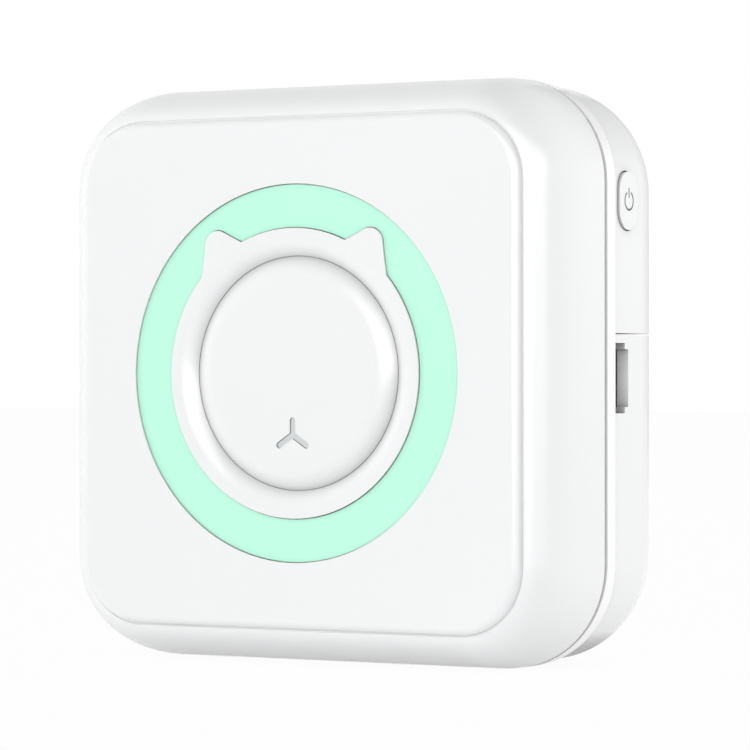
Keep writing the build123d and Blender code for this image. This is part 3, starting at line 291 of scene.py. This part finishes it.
class PRINTER_OT_mechanism(bpy.types.Operator):
    """Finish the paper bay, the print mechanism and the gears"""

    bl_idname = "printer.mechanism"
    bl_label = "Mechanism"

    def execute(self, context):
        finish(metal("ground_steel", (0.60, 0.60, 0.61), 0.28, along=(0.08, 1.0, 1.0)), "platen_shaft",
               "head_pivot_pin", "hinge_pins", "gear_axle", "motor_shaft", "gear_clip")
        finish(metal("spring_steel", (0.55, 0.55, 0.57), 0.32, along=(1.0, 0.3, 1.0)), "head_springs",
               "tear_bar")
        finish(metal("screw_zinc", (0.50, 0.50, 0.52), 0.35), "cover_screws", "rear_cover_screws",
               "bin_screws", "print_frame_screws", "board_screws", "motor_screws")
        finish(metal("motor_can", (0.52, 0.52, 0.54), 0.38, along=(0.1, 1.0, 1.0)), "stepper_motor")
        finish(metal("extruded_aluminium", (0.70, 0.71, 0.72), 0.36, along=(0.06, 1.0, 1.0)),
               "head_heat_sink")
        finish(metal("turned_brass", (0.70, 0.52, 0.24), 0.30), "motor_pinion")
        finish(plastic("acetal", (0.82, 0.81, 0.76), 0.40, grain=3000.0, bump=0.2), "platen_gear",
               "idler_gear", "platen_bushes")
        finish(plastic("frame_black", (0.022, 0.022, 0.024), 0.50, grain=2600.0, bump=0.5, tint=0.08),
               "print_frame", "switch_body", "switch_plunger")
        finish(plastic("bin_grey", (0.62, 0.63, 0.64), 0.48, grain=2600.0, bump=0.4), "paper_bin")
        finish(plastic("platen_rubber", (0.014, 0.014, 0.015), 0.72, grain=2200.0, bump=0.7, tint=0.1),
               "platen_roller")
        finish(plastic("head_glaze", (0.10, 0.07, 0.055), 0.18, grain=3000.0, bump=0.05), "print_head")
        finish(plastic("thermal_paper", (0.90, 0.90, 0.88), 0.62, grain=1600.0, bump=0.4, tint=0.02),
               "paper_roll")
        finish(plastic("core_grey", (0.06, 0.062, 0.07), 0.50, grain=2400.0, bump=0.4, tint=0.06),
               "roll_core")
        return {"FINISHED"}


class PRINTER_OT_electronics(bpy.types.Operator):
    """Finish the board, the socket, the battery and the leads"""

    bl_idname = "printer.electronics"
    bl_label = "Electronics"

    def execute(self, context):
        finish(plastic("board_green", (0.012, 0.105, 0.045), 0.32, grain=1500.0, bump=0.3, tint=0.12),
               "main_board")
        finish(metal("socket_shell", (0.46, 0.46, 0.47), 0.34, along=(0.2, 1.0, 1.0)), "usb_receptacle")
        finish(plastic("chip_epoxy", (0.016, 0.016, 0.018), 0.45, grain=3500.0, bump=0.5, tint=0.1),
               "board_chips", "paper_sensor")
        finish(plastic("connector_cream", (0.72, 0.66, 0.50), 0.42, grain=3000.0, bump=0.3),
               "board_connectors")
        finish(plastic("led_lens", (0.90, 0.86, 0.62), 0.20, grain=3000.0, bump=0.05), "status_led")
        finish(metal("battery_foil", (0.66, 0.68, 0.70), 0.42, along=(1.0, 1.0, 0.2)), "battery_cell")
        finish(plastic("foam_tape", (0.02, 0.02, 0.02), 0.9, grain=1800.0, bump=1.0, tint=0.15),
               "battery_tape")
        finish(plastic("lead_red", (0.42, 0.015, 0.012), 0.38, grain=2500.0, bump=0.1), "battery_leads")
        finish(plastic("lead_white", (0.74, 0.74, 0.72), 0.38, grain=2500.0, bump=0.1), "motor_leads")
        finish(plastic("flex_amber", (0.42, 0.16, 0.02), 0.25, grain=2500.0, bump=0.1, tint=0.05),
               "head_flex")
        return {"FINISHED"}


def direction(azimuth, elevation):
    """Unit vector from the object towards an azimuth, counted from the face, and an elevation."""
    return Vector((math.sin(azimuth) * math.cos(elevation), -math.cos(azimuth) * math.cos(elevation),
                   math.sin(elevation)))


def seen_directly(tree):
    """Gives 1 to the camera's own rays and to those of gloss and clear pieces, and 0 to the rest."""
    rays = add(tree, "LightPath")
    seen = add(tree, "Math", "MAXIMUM")
    seen_too = add(tree, "Math", "MAXIMUM")
    tree.links.new(rays.outputs["Is Camera Ray"], seen.inputs[0])
    tree.links.new(rays.outputs["Is Glossy Ray"], seen.inputs[1])
    tree.links.new(seen.outputs[0], seen_too.inputs[0])
    tree.links.new(rays.outputs["Is Transmission Ray"], seen_too.inputs[1])
    return seen_too.outputs[0]


def mesh_object(bm, name, material):
    """Makes a bmesh an object of one material."""
    mesh = bpy.data.meshes.new(name)
    bm.to_mesh(mesh)
    bm.free()
    mesh.materials.append(material)
    piece = bpy.data.objects.new(name, mesh)
    bpy.context.scene.collection.objects.link(piece)
    return piece


def white_floor():
    """Floor that shows white and keeps a little of the object's shadow."""
    material = bpy.data.materials.new("floor_white")
    material.use_nodes = True
    tree = material.node_tree
    shader = tree.nodes["Principled BSDF"]
    shader.inputs["Base Color"].default_value = FLOOR_COLOUR
    shader.inputs["Roughness"].default_value = FLOOR_ROUGHNESS
    shader.inputs["Specular IOR Level"].default_value = 0.0
    glow = add(tree, "Emission")
    glow.inputs["Strength"].default_value = 1.0
    share = add(tree, "Math", "MULTIPLY")
    share.inputs[1].default_value = FLOOR_WHITE_SHARE
    mix = add(tree, "MixShader")
    tree.links.new(seen_directly(tree), share.inputs[0])
    tree.links.new(share.outputs[0], mix.inputs["Fac"])
    tree.links.new(shader.outputs["BSDF"], mix.inputs[1])
    tree.links.new(glow.outputs["Emission"], mix.inputs[2])
    tree.links.new(mix.outputs["Shader"], tree.nodes["Material Output"].inputs["Surface"])

    bm = bmesh.new()
    bmesh.ops.create_grid(bm, x_segments=4, y_segments=4, size=FLOOR_HALF)
    floor = mesh_object(bm, "floor", material)


def grey_card():
    """Upright card behind the object, seen only in its gloss."""
    material = bpy.data.materials.new("card_grey")
    material.use_nodes = True
    tree = material.node_tree
    glow = add(tree, "Emission")
    glow.inputs["Color"].default_value = CARD_COLOUR
    tree.links.new(glow.outputs["Emission"], tree.nodes["Material Output"].inputs["Surface"])

    centre = (0.0, 0.0, 0.0)
    upright = Matrix.Rotation(math.radians(90), 3, "X")
    aside = Matrix.Rotation(CARD_TURN, 3, "Z")
    bm = bmesh.new()
    bmesh.ops.create_grid(bm, x_segments=1, y_segments=1, size=0.5)
    bmesh.ops.scale(bm, vec=(CARD_WIDTH, CARD_HEIGHT, 1.0), verts=bm.verts)
    bmesh.ops.rotate(bm, cent=centre, matrix=upright, verts=bm.verts)
    bmesh.ops.translate(bm, vec=(0.0, STAND_OFF, CARD_HEIGHT / 2), verts=bm.verts)
    bmesh.ops.rotate(bm, cent=centre, matrix=aside, verts=bm.verts)
    card = mesh_object(bm, "grey_card", material)
    card.visible_camera = False
    card.visible_diffuse = False
    card.visible_shadow = False


def white_world():
    """World that shows white and lights the object softly."""
    world = bpy.data.worlds.new("studio")
    bpy.context.scene.world = world
    world.use_nodes = True
    tree = world.node_tree
    soft = tree.nodes["Background"]
    soft.inputs["Color"].default_value = WHITE
    soft.inputs["Strength"].default_value = WORLD_STRENGTH
    white = add(tree, "Background")
    white.inputs["Color"].default_value = WHITE
    white.inputs["Strength"].default_value = 1.0
    mix = add(tree, "MixShader")
    tree.links.new(seen_directly(tree), mix.inputs["Fac"])
    tree.links.new(soft.outputs["Background"], mix.inputs[1])
    tree.links.new(white.outputs["Background"], mix.inputs[2])
    tree.links.new(mix.outputs["Shader"], tree.nodes["World Output"].inputs["Surface"])


def area_lamp(name, azimuth, elevation, width, height, watts, diffuse, gloss):
    """Rectangular lamp that faces the object and isn't seen itself."""
    data = bpy.data.lights.new(name, "AREA")
    data.shape = "RECTANGLE"
    data.size = width
    data.size_y = height
    data.energy = watts
    lamp = bpy.data.objects.new(name, data)
    bpy.context.scene.collection.objects.link(lamp)
    back = direction(math.radians(azimuth), math.radians(elevation))
    lamp.location = Vector((0, 0, MID)) + back * STAND_OFF
    lamp.rotation_mode = "QUATERNION"
    lamp.rotation_quaternion = back.to_track_quat("Z", "Y")
    lamp.visible_camera = False
    lamp.visible_diffuse = diffuse
    lamp.visible_glossy = gloss


def photo_camera(stage):
    """Camera at the photograph's angle and distance."""
    data = bpy.data.cameras.new("camera")
    data.lens = stage.lens
    data.sensor_width = SENSOR_WIDTH
    camera = bpy.data.objects.new("camera", data)
    bpy.context.scene.collection.objects.link(camera)
    back = direction(stage.azimuth, stage.elevation)
    roll = stage.roll
    right = (-back).cross(Vector((0, 0, 1))).normalized()
    up = right.cross(-back)
    right, up = (right * math.cos(roll) + up * math.sin(roll),
                 up * math.cos(roll) - right * math.sin(roll))
    turn = Matrix((right, up, back)).transposed()
    offset = right * CAMERA_RIGHT - up * CAMERA_DOWN + back * stage.distance
    camera.matrix_world = Matrix.Translation(Vector((0, FACE, MID)) + offset) @ turn.to_4x4()
    bpy.context.scene.camera = camera


class PRINTER_OT_stage(bpy.types.Operator):
    """Make the floor, the world, the lamps, the grey card and the camera"""

    bl_idname = "printer.stage"
    bl_label = "Stage"

    def execute(self, context):
        context.scene.view_settings.view_transform = "Standard"
        white_floor()
        white_world()
        grey_card()
        for row in LAMPS:
            area_lamp(*row)
        photo_camera(context.scene.printer_stage)
        return {"FINISHED"}


class PRINTER_PT_panel(bpy.types.Panel):
    bl_idname = "PRINTER_PT_panel"
    bl_label = "Pocket Printer"
    bl_space_type = "VIEW_3D"
    bl_region_type = "UI"
    bl_category = "Pocket Printer"

    def draw(self, context):
        layout = self.layout
        colours = context.scene.printer_colours
        for name in ("shell", "ring", "band", "cap"):
            layout.prop(colours, name)
        for operator in OPERATORS:
            layout.operator(operator.bl_idname)


OPERATORS = (PRINTER_OT_covers, PRINTER_OT_mechanism, PRINTER_OT_electronics, PRINTER_OT_stage)
CLASSES = (PrinterColours, PrinterStage, *OPERATORS, PRINTER_PT_panel)


def register():
    for cls in CLASSES:
        bpy.utils.register_class(cls)
    bpy.types.Scene.printer_colours = PointerProperty(type=PrinterColours)
    bpy.types.Scene.printer_stage = PointerProperty(type=PrinterStage)


def unregister():
    del bpy.types.Scene.printer_stage
    del bpy.types.Scene.printer_colours
    for cls in reversed(CLASSES):
        bpy.utils.unregister_class(cls)


def main():
    register()
    bpy.ops.printer.covers()
    bpy.ops.printer.mechanism()
    bpy.ops.printer.electronics()
    bpy.ops.printer.stage()


if __name__ == "__main__":
    main()
